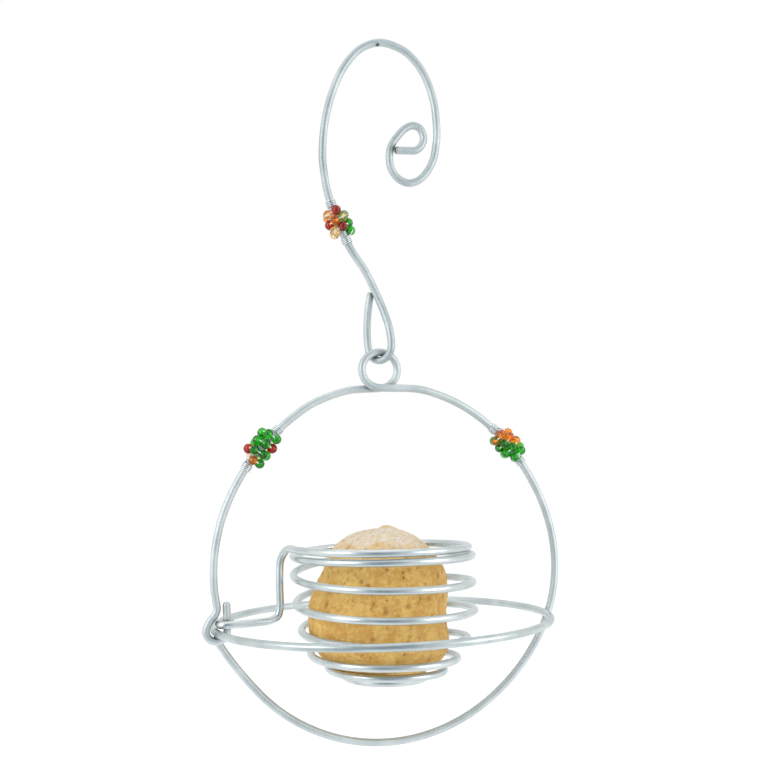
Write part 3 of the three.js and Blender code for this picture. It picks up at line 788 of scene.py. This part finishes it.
def cluster(name, body, main_line, centre, pitch, colours, place):
    """Winds one binding wire with its beads round a main wire, about the point nearest the centre."""
    line = evenly(main_line, FINE_STEP)
    lengths = lengths_along(line)

    def on_main(distance, angle, reach):
        middle, ahead = (on_line(line, lengths, at) for at in (distance, distance + FINE_STEP))
        forward = (ahead - middle) / np.linalg.norm(ahead - middle)
        front = point(0, -1, 0)
        front = front - forward * front.dot(forward)
        front /= np.linalg.norm(front)
        out = front * math.cos(angle) + np.cross(forward, front) * math.sin(angle)
        return middle + out * reach, out, forward

    def tight(first, angle, way):
        turns = sweep(0, BINDING_TURNS, BINDING_TURNS * WINDING_STEPS)
        return [
            on_main(first + way * turn * WINDING_PITCH, angle + way * turn * 2 * math.pi, WINDING_REACH)[0]
            for turn in turns
        ]

    beads_length = (len(colours) - 1) * pitch / BEADS_PER_TURN
    first = lengths[np.argmin(np.linalg.norm(line - centre, axis=1))] - beads_length / 2
    path = tight(first - TO_WINDING, -BEAD_TURN, -1)[::-1]
    half = BEAD_LENGTH / 2 + CLEARANCE / 2
    seats, threads = [], []
    for index in range(len(colours)):
        seat, out, forward = on_main(first + index * pitch / BEADS_PER_TURN, index * BEAD_TURN, BEAD_REACH)
        thread = np.cross(forward, out) * BEAD_REACH * 2 * math.pi + forward * pitch
        thread /= np.linalg.norm(thread)
        path += [seat - thread * half, seat + thread * half]
        seats.append(seat)
        threads.append(thread)
    path += tight(first + beads_length + TO_WINDING, len(colours) * BEAD_TURN, 1)
    binding_line = place(evenly(bent_through(path, fine=8), BINDING_STEP))
    binding = wire_piece(name + "_binding", binding_line, BINDING_WIRE, painted_lighter_binding, BINDING_SIDES)
    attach(binding, body)
    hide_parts(name + "_binding_wire")
    tips = place(np.array(seats) + np.array(threads))
    seats = place(seats)
    for seed, colour in enumerate(sorted(set(colours))):
        chosen = [index for index, own in enumerate(colours) if own == colour]
        mesh = bpy.data.meshes.new("seats")
        mesh.from_pydata((seats[chosen] * MM).tolist(), [], [])
        directions = (tips - seats)[chosen].astype(np.float32).ravel()
        mesh.attributes.new("thread", "FLOAT_VECTOR", "POINT").data.foreach_set("vector", directions)
        beads = made_by(strung_beads, shown("seats", mesh), f"{name}_{colour}_beads", {
            "Radius": BEAD_DIAMETER / 2 * MM, "Length": BEAD_LENGTH * MM, "Hole Radius": BEAD_HOLE / 2 * MM,
            "Hole Turn": math.acos(BEAD_HOLE / BEAD_DIAMETER), "Seed": seed, "Glass": glass[colour],
        })
        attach(beads, body)
        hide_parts(*[f"{name}_bead_{index + 1:02d}" for index in chosen])


hook_beads_centre = stem_points[1] + (stem_points[2] - stem_points[1]) * HOOK_BEADS_SHARE
cluster("hook", "hook", hook_line, hook_beads_centre, HOOK_PITCH, HOOK_BEADS, np.array)
cluster("left", "frame", hoop_line, hoop_point(LEFT_BEADS_AT), LEFT_PITCH, LEFT_BEADS, hung)
cluster("right", "frame", hoop_line, hoop_point(RIGHT_BEADS_AT), RIGHT_PITCH, RIGHT_BEADS, hung)

# Suet ball. Beef fat and seed meal pressed by hand into an egg that stands on the coiled floor. Its
# crust is ochre and pitted, with husks and flakes in it, and its top is dusted with pale flour.
BALL_RADIUS = 30.2
BALL_BELOW = 22.7
BALL_ABOVE = 40.6
FULLNESS_ABOVE = 2.38
FULLNESS_BELOW = 2.75
BALL_LEFT = 2.9
BALL_X = CAGE_SHIFT - BALL_LEFT
BALL_FOOT = coil_point(winding[-1, 0])[2] + WIRE / 2 + CLEARANCE
BALL_WAIST = BALL_FOOT + BALL_BELOW
BALL_CELLS = 88
LEAN_STEPS = 130
SEAM = 1e-6
SMOOTH_ROUNDS = 3
SMOOTH_SHARE = 0.5
LUMPS = 2.0
CRUMBS = 0.8
PITS = 0.7
PIT_RARITY = 0.62
PIT_BOWL = (0.10, 0.34)
PITS_PER_METRE = 190.0
CRUMB_SIDE = 5.4
CRUMB_HEIGHT = 1.4
CRUMB_RAGGED = 0.006
CRUMB_EDGE = (0.0040, 0.0084)
CAMERA_TURN = math.radians(16)
IMAGE_RIGHT = point(math.cos(CAMERA_TURN), -math.sin(CAMERA_TURN), 0)
CRUMB = (hung([point(BALL_X, 0, BALL_WAIST + BALL_ABOVE)])[0] + IMAGE_RIGHT * CRUMB_SIDE) * MM
DOME_FOOT = 2.0
DOME_Z = float(hung([point(BALL_X, 0, RIM_HEIGHT - DOME_FOOT)])[0, 2]) * MM
FLOUR_FROM = DOME_Z + 0.003
FLOUR_FULL = DOME_Z + 0.011
FAT_DEEP = (0.71, 0.385, 0.080, 1)
FAT_PALE = (0.90, 0.61, 0.19, 1)
FINE_GRAIN = 0.9
STAIN = (0.42, 0.18, 0.035, 1)
FLAKE = (0.82, 0.64, 0.34, 1)
HUSK = (0.24, 0.095, 0.022, 1)
HUSK_BEND = (0.0022, 0.0022, 0.0022)
HUSK_RARITY = 0.87
HUSK_EDGE = (0.08, 0.34)
HUSK_COVER = 0.75
HUSKS_PER_METRE = 300.0
PIT = (0.38, 0.15, 0.026, 1)
PIT_DARKENING = 0.55
FLOUR = (0.88, 0.83, 0.73, 1)
FLOUR_RAGGED = 0.012
FLOUR_LEAST = 0.36
TOP_CRUMB = (0.84, 0.58, 0.25, 1)
# Heights in the hoop's frame, and how far the ball leans to the right there, as the camera sees it.
leans = np.array([
    (-48, 2.0), (-39, 2.3), (-31, 0.6), (-25, -0.4), (-18, -0.1), (-8, 1.7), (0, 3.0), (8, 2.2), (17, 1.6),
], float)


def ball_mesh():
    """A closed skin of even cells in the pressed egg's shape, in the place where it stands."""
    cube = bmesh.new()
    bmesh.ops.create_grid(cube, x_segments=BALL_CELLS, y_segments=BALL_CELLS, size=1.0)
    face = np.array([v.co[:] for v in cube.verts])
    quads = [[v.index for v in f.verts] for f in cube.faces]
    cube.free()
    spread = np.tan(face[:, :2] * math.pi / 4)
    lid = np.column_stack([spread, np.ones(len(face))])
    turns = [
        np.eye(3),
        np.array([[1, 0, 0], [0, -1, 0], [0, 0, -1]]),
        np.array([[1, 0, 0], [0, 0, -1], [0, 1, 0]]),
        np.array([[1, 0, 0], [0, 0, 1], [0, -1, 0]]),
        np.array([[0, 0, 1], [0, 1, 0], [-1, 0, 0]]),
        np.array([[0, 0, -1], [0, 1, 0], [1, 0, 0]]),
    ]
    skin = np.vstack([lid @ turn.T for turn in turns])
    faces = [[index + side * len(face) for index in quad] for side in range(6) for quad in quads]
    skin /= np.linalg.norm(skin, axis=1)[:, None]
    level = np.abs(skin[:, 2])
    flat = np.linalg.norm(skin[:, :2], axis=1)
    power = np.where(skin[:, 2] < 0, FULLNESS_BELOW, FULLNESS_ABOVE)
    heights = np.where(skin[:, 2] < 0, BALL_BELOW, BALL_ABOVE)
    reach = ((flat / BALL_RADIUS) ** power + (level / heights) ** power) ** (-1 / power)
    egg = skin * reach[:, None]
    egg += point(BALL_X, 0, BALL_WAIST)
    levels = sweep(leans[0, 0], leans[-1, 0], LEAN_STEPS)
    lean = np.interp(egg[:, 2], levels, [along(leans, level)[0] for level in levels])
    egg = hung(egg) + lean[:, None] * IMAGE_RIGHT
    mesh = bpy.data.meshes.new("pressed_egg")
    mesh.from_pydata((egg * MM).tolist(), [], faces)
    closed = bmesh.new()
    closed.from_mesh(mesh)
    bmesh.ops.remove_doubles(closed, verts=closed.verts, dist=SEAM)
    bmesh.ops.recalc_face_normals(closed, faces=closed.faces)
    for _ in range(SMOOTH_ROUNDS):
        bmesh.ops.smooth_vert(
            closed, verts=closed.verts, factor=SMOOTH_SHARE,
            use_axis_x=True, use_axis_y=True, use_axis_z=True,
        )
    closed.to_mesh(mesh)
    closed.free()
    return mesh


def suet_crust_tree():
    """Presses lumps and crumbs into the egg's skin, and picks pits out of it."""
    tree = bpy.data.node_groups.new("suet_crust", "GeometryNodeTree")
    start, end = ways_in(tree, [
        ("Egg", "INPUT", "NodeSocketGeometry"),
        ("Lumps", "INPUT", "NodeSocketFloat"),
        ("Crumbs", "INPUT", "NodeSocketFloat"),
        ("Pits", "INPUT", "NodeSocketFloat"),
        ("Crumb Place", "INPUT", "NodeSocketVector"),
        ("Crumb Height", "INPUT", "NodeSocketFloat"),
        ("Suet", "INPUT", "NodeSocketMaterial"),
        ("Crust", "OUTPUT", "NodeSocketGeometry"),
    ])
    place = (put(tree, "GeometryNodeInputPosition"), "Position")
    lumps = cloudy(tree, place, scale=75.0, detail=2.0)
    crumbs = cloudy(tree, place, scale=520.0, detail=3.0, roughness=0.6)
    cells = put(tree, "ShaderNodeTexVoronoi", {"Vector": place, "Scale": PITS_PER_METRE})
    chance = put(tree, "ShaderNodeSeparateXYZ", {"Vector": (cells, "Color")})
    picked = worked(tree, "GREATER_THAN", (chance, "X"), PIT_RARITY)
    bowl = ranged(tree, (cells, "Distance"), *PIT_BOWL, first=1.0, last=0.0, kind="SMOOTHSTEP")
    pit = worked(tree, "MULTIPLY", bowl, picked)
    high = worked(tree, "MULTIPLY", worked(tree, "SUBTRACT", lumps, 0.5), (start, "Lumps"))
    fine = worked(tree, "MULTIPLY", worked(tree, "SUBTRACT", crumbs, 0.5), (start, "Crumbs"))
    deep = worked(tree, "MULTIPLY", pit, (start, "Pits"))
    rise = worked(tree, "SUBTRACT", worked(tree, "ADD", high, fine), deep)
    away = put(tree, "ShaderNodeVectorMath", {0: place, 1: (start, "Crumb Place")}, operation="DISTANCE")
    ragged = worked(tree, "MULTIPLY_ADD", crumbs, CRUMB_RAGGED, (away, "Value"))
    crumb = ranged(tree, ragged, *CRUMB_EDGE, first=1.0, last=0.0, kind="SMOOTHSTEP")
    rise = worked(tree, "MULTIPLY_ADD", crumb, (start, "Crumb Height"), rise)
    outward = put(tree, "GeometryNodeInputNormal")
    offset = put(tree, "ShaderNodeVectorMath", {0: (outward, "Normal"), "Scale": rise}, operation="SCALE")
    marked = (start, "Egg")
    for name, mark in (("pit", pit), ("crumb", crumb)):
        marked = (put(tree, "GeometryNodeStoreNamedAttribute", {
            "Geometry": marked, "Name": name, "Value": mark,
        }, data_type="FLOAT", domain="POINT"), "Geometry")
    moved = put(tree, "GeometryNodeSetPosition", {"Geometry": marked, "Offset": (offset, "Vector")})
    smooth = put(tree, "GeometryNodeSetShadeSmooth", {"Geometry": (moved, "Geometry")})
    real = put(tree, "GeometryNodeRealizeInstances", {"Geometry": (smooth, "Geometry")})
    put_on = put(tree, "GeometryNodeSetMaterial", {
        "Geometry": (real, "Geometry"), "Material": (start, "Suet"),
    })
    link(tree, (put_on, "Geometry"), end.inputs["Crust"])
    return tree


def suet_finish():
    """Ochre fat with brown stains, dark husks and pale flakes, and flour over the top."""
    finish, tree, shader = new_finish("suet")
    place = (put(tree, "ShaderNodeTexCoord"), "Object")

    def noise(scale, detail, roughness=0.6):
        return cloudy(tree, place, scale, detail, roughness)

    def between(value, low, high):
        return ranged(tree, value, low, high, kind="SMOOTHSTEP")

    grain = noise(scale=520.0, detail=5.0, roughness=0.7)
    grain = worked(tree, "MULTIPLY_ADD", grain, FINE_GRAIN, noise(scale=130.0, detail=3.0))
    tone = between(grain, low=0.70, high=1.20)
    colour = tinted(tree, tone, FAT_DEEP, FAT_PALE)
    stain = between(noise(scale=330.0, detail=6.0, roughness=0.7), low=0.55, high=0.74)
    colour = tinted(tree, stain, colour, STAIN)
    flake = between(noise(scale=640.0, detail=4.0), low=0.60, high=0.74)
    colour = tinted(tree, flake, colour, FLAKE)
    swirl = noise(scale=900.0, detail=2.0)[0]
    bent = put(tree, "ShaderNodeVectorMath", {
        0: (swirl, "Color"), 1: HUSK_BEND, 2: place,
    }, operation="MULTIPLY_ADD")
    husks = put(tree, "ShaderNodeTexVoronoi", {"Vector": (bent, "Vector"), "Scale": HUSKS_PER_METRE})
    chance = put(tree, "ShaderNodeSeparateXYZ", {"Vector": (husks, "Color")})
    rare = worked(tree, "GREATER_THAN", (chance, "X"), HUSK_RARITY)
    husk = ranged(tree, (husks, "Distance"), *HUSK_EDGE, first=HUSK_COVER, last=0.0)
    colour = tinted(tree, worked(tree, "MULTIPLY", husk, rare), colour, HUSK)
    pit = put(tree, "ShaderNodeAttribute", attribute_name="pit")
    # The pits are painted a darker brown.
    colour = tinted(tree, worked(tree, "MULTIPLY", (pit, "Fac"), PIT_DARKENING), colour, PIT)
    height = put(tree, "ShaderNodeSeparateXYZ", {"Vector": place})
    ragged = worked(tree, "MULTIPLY", noise(scale=140.0, detail=4.0), FLOUR_RAGGED)
    level = worked(tree, "ADD", (height, "Z"), ragged)
    dusted = between(level, FLOUR_FROM, FLOUR_FULL)
    patchy = noise(scale=560.0, detail=5.0, roughness=0.7)
    patchy = ranged(tree, patchy, low=0.38, high=0.60, first=FLOUR_LEAST)
    colour = tinted(tree, worked(tree, "MULTIPLY", dusted, patchy), colour, FLOUR)
    crumb = put(tree, "ShaderNodeAttribute", attribute_name="crumb")
    link(tree, tinted(tree, (crumb, "Fac"), colour, TOP_CRUMB), shader.inputs["Base Color"])
    link(tree, ranged(tree, tone, 0.0, 1.0, first=0.62, last=0.82), shader.inputs["Roughness"])
    crumbly = put(tree, "ShaderNodeBump", {
        "Height": noise(scale=1100.0, detail=6.0, roughness=0.7), "Strength": 0.8, "Distance": 0.0006,
    })
    link(tree, (crumbly, "Normal"), shader.inputs["Normal"])
    return finish


ball = made_by(suet_crust_tree(), shown("pressed_egg", ball_mesh()), "suet_crust_ball", {
    "Lumps": LUMPS * MM, "Crumbs": CRUMBS * MM, "Pits": PITS * MM,
    "Crumb Place": CRUMB, "Crumb Height": CRUMB_HEIGHT * MM, "Suet": suet_finish(),
})
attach(ball, "ball")
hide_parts("suet_ball")

# Studio. A pale floor well below the hanging feeder, a white surround, a large soft light at each
# side and one above. In the gap between the lights, where the camera stands, surround and floor are
# darker for what the wires and the glass reflect.
CAMERA_AXIS = point(1.67, 0, 0)
CAMERA_AWAY = 530.0
CAMERA_Z = -178.93
FOCAL_PIXELS = 1218.0
IMAGE_PIXELS = 768.0
HORIZON_ROW = 458.0
SENSOR = 36.0
LIT_PLACE = Vector((0, 0, -0.19))
FLOOR_Z = -0.42
FLOOR_REACH = 4
FLOOR_SHADES = ((0.86, 0.86, 0.86, 1), (0.90, 0.90, 0.90, 1))
FLOOR_ROUGHNESS = 0.9
FLOOR_GLOW = 1.36
FLOOR_GLOW_SHARES = (0.46, 0.6)
SKY_LEVELS = (0.66, 1.0)
GAP_GLOW = 0.35
WHITE = (1, 1, 1, 1)
GAP_COLOUR = (0.18, 0.26, 0.335, 1)
to_camera = point(-math.sin(CAMERA_TURN), -math.cos(CAMERA_TURN), 0)
camera_data = bpy.data.cameras.new("camera")
camera_data.sensor_width = SENSOR
camera_data.lens = SENSOR * FOCAL_PIXELS / IMAGE_PIXELS
camera_data.shift_y = (HORIZON_ROW - IMAGE_PIXELS / 2) / IMAGE_PIXELS
camera_data.clip_start = 0.01
camera_data.clip_end = 50.0
camera = bpy.data.objects.new("camera", camera_data)
camera.location = (CAMERA_AXIS + to_camera * CAMERA_AWAY + point(0, 0, CAMERA_Z)) * MM
camera.rotation_euler = (math.pi / 2, 0, -CAMERA_TURN)
bpy.context.scene.collection.objects.link(camera)
bpy.context.scene.camera = camera


def softbox(name, place, width, height, power):
    light = bpy.data.lights.new(name, "AREA")
    light.shape = "RECTANGLE"
    light.size = width
    light.size_y = height
    light.energy = power
    box = bpy.data.objects.new(name, light)
    box.location = place
    box.rotation_euler = (LIT_PLACE - Vector(place)).to_track_quat("-Z", "Y").to_euler()
    bpy.context.scene.collection.objects.link(box)


softbox("left_softbox", (-1.05, -0.50, 0.20), width=0.6, height=0.8, power=4.6)
softbox("right_softbox", (0.90, -0.75, 0.05), width=0.6, height=0.8, power=3.6)
softbox("top_softbox", (-0.10, 0.15, 0.95), width=1.2, height=1.0, power=1.6)


def ray_kinds(tree):
    """Whether metal or glass sent a ray here, and whether it is such a ray or the camera's own."""
    path = put(tree, "ShaderNodeLightPath")
    bent = worked(tree, "MAXIMUM", (path, "Is Glossy Ray"), (path, "Is Transmission Ray"))
    return bent, worked(tree, "MAXIMUM", (path, "Is Camera Ray"), bent)


def towards(tree, place, way):
    return (put(tree, "ShaderNodeVectorMath", {0: place, 1: tuple(way)}, operation="DOT_PRODUCT"), "Value")


def front_gap(tree, place, near, aside):
    """The dark gap: full in front of the near range, and gone at each side past the aside range."""
    side = worked(tree, "ABSOLUTE", towards(tree, place, IMAGE_RIGHT))
    ahead = ranged(tree, towards(tree, place, to_camera), *near, kind="SMOOTHSTEP")
    middle = ranged(tree, side, *aside, first=1.0, last=0.0, kind="SMOOTHSTEP")
    return worked(tree, "MULTIPLY", ahead, middle)


floor_corners = [
    (FLOOR_REACH * x, FLOOR_REACH * y, FLOOR_Z) for x, y in ((-1, -1), (1, -1), (1, 1), (-1, 1))
]
floor_mesh = bpy.data.meshes.new("floor")
floor_mesh.from_pydata(floor_corners, [], [(0, 1, 2, 3)])
floor = shown("floor", floor_mesh)
pale, pale_tree, pale_shader = new_finish("pale_floor")
pale_shader.inputs["Roughness"].default_value = FLOOR_ROUGHNESS
pale_place = (put(pale_tree, "ShaderNodeTexCoord"), "Object")
pale_grain = cloudy(pale_tree, pale_place, scale=60.0, detail=3.0)
link(pale_tree, tinted(pale_tree, pale_grain, *FLOOR_SHADES), pale_shader.inputs["Base Color"])
pale_bent, pale_seen = ray_kinds(pale_tree)
pale_gap = front_gap(pale_tree, pale_place, near=(0.06, 0.42), aside=(0.12, 0.65))
pale_gap = worked(pale_tree, "MULTIPLY", pale_gap, pale_bent)
# The floor glows: white to the camera and in reflections, and a share of its glow lights the feeder from
# below.
pale_share = ranged(pale_tree, pale_seen, 0.0, 1.0, *FLOOR_GLOW_SHARES)
pale_share = worked(pale_tree, "MULTIPLY_ADD", pale_gap, GAP_GLOW, pale_share)
pale_glow = put(pale_tree, "ShaderNodeEmission", {
    "Color": tinted(pale_tree, pale_gap, WHITE, GAP_COLOUR), "Strength": FLOOR_GLOW,
})
pale_mix = put(pale_tree, "ShaderNodeMixShader", {
    0: pale_share, 1: (pale_shader, "BSDF"), 2: (pale_glow, "Emission"),
})
link(pale_tree, (pale_mix, "Shader"), pale_tree.nodes["Material Output"].inputs["Surface"])
floor_mesh.materials.append(pale)

world = bpy.data.worlds.new("studio")
bpy.context.scene.world = world
world.use_nodes = True
sky = world.node_tree
sky.nodes.clear()
sky_way = (put(sky, "ShaderNodeTexCoord"), "Generated")
sky_bent, sky_seen = ray_kinds(sky)
sky_height = worked(sky, "ABSOLUTE", (put(sky, "ShaderNodeSeparateXYZ", {"Vector": sky_way}), "Z"))
sky_level = ranged(sky, sky_height, 0.35, 0.95, first=1.0, last=0.0, kind="SMOOTHSTEP")
sky_gap = front_gap(sky, sky_way, near=(0.0, 0.4), aside=(0.20, 0.85))
sky_gap = worked(sky, "MULTIPLY", worked(sky, "MULTIPLY", sky_gap, sky_level), sky_bent)
sky_light = put(sky, "ShaderNodeBackground", {
    "Color": tinted(sky, sky_gap, WHITE, GAP_COLOUR),
    "Strength": ranged(sky, sky_seen, 0.0, 1.0, *SKY_LEVELS),
})
put(sky, "ShaderNodeOutputWorld", {"Surface": (sky_light, "Background")})
bpy.context.scene.view_settings.view_transform = "Standard"
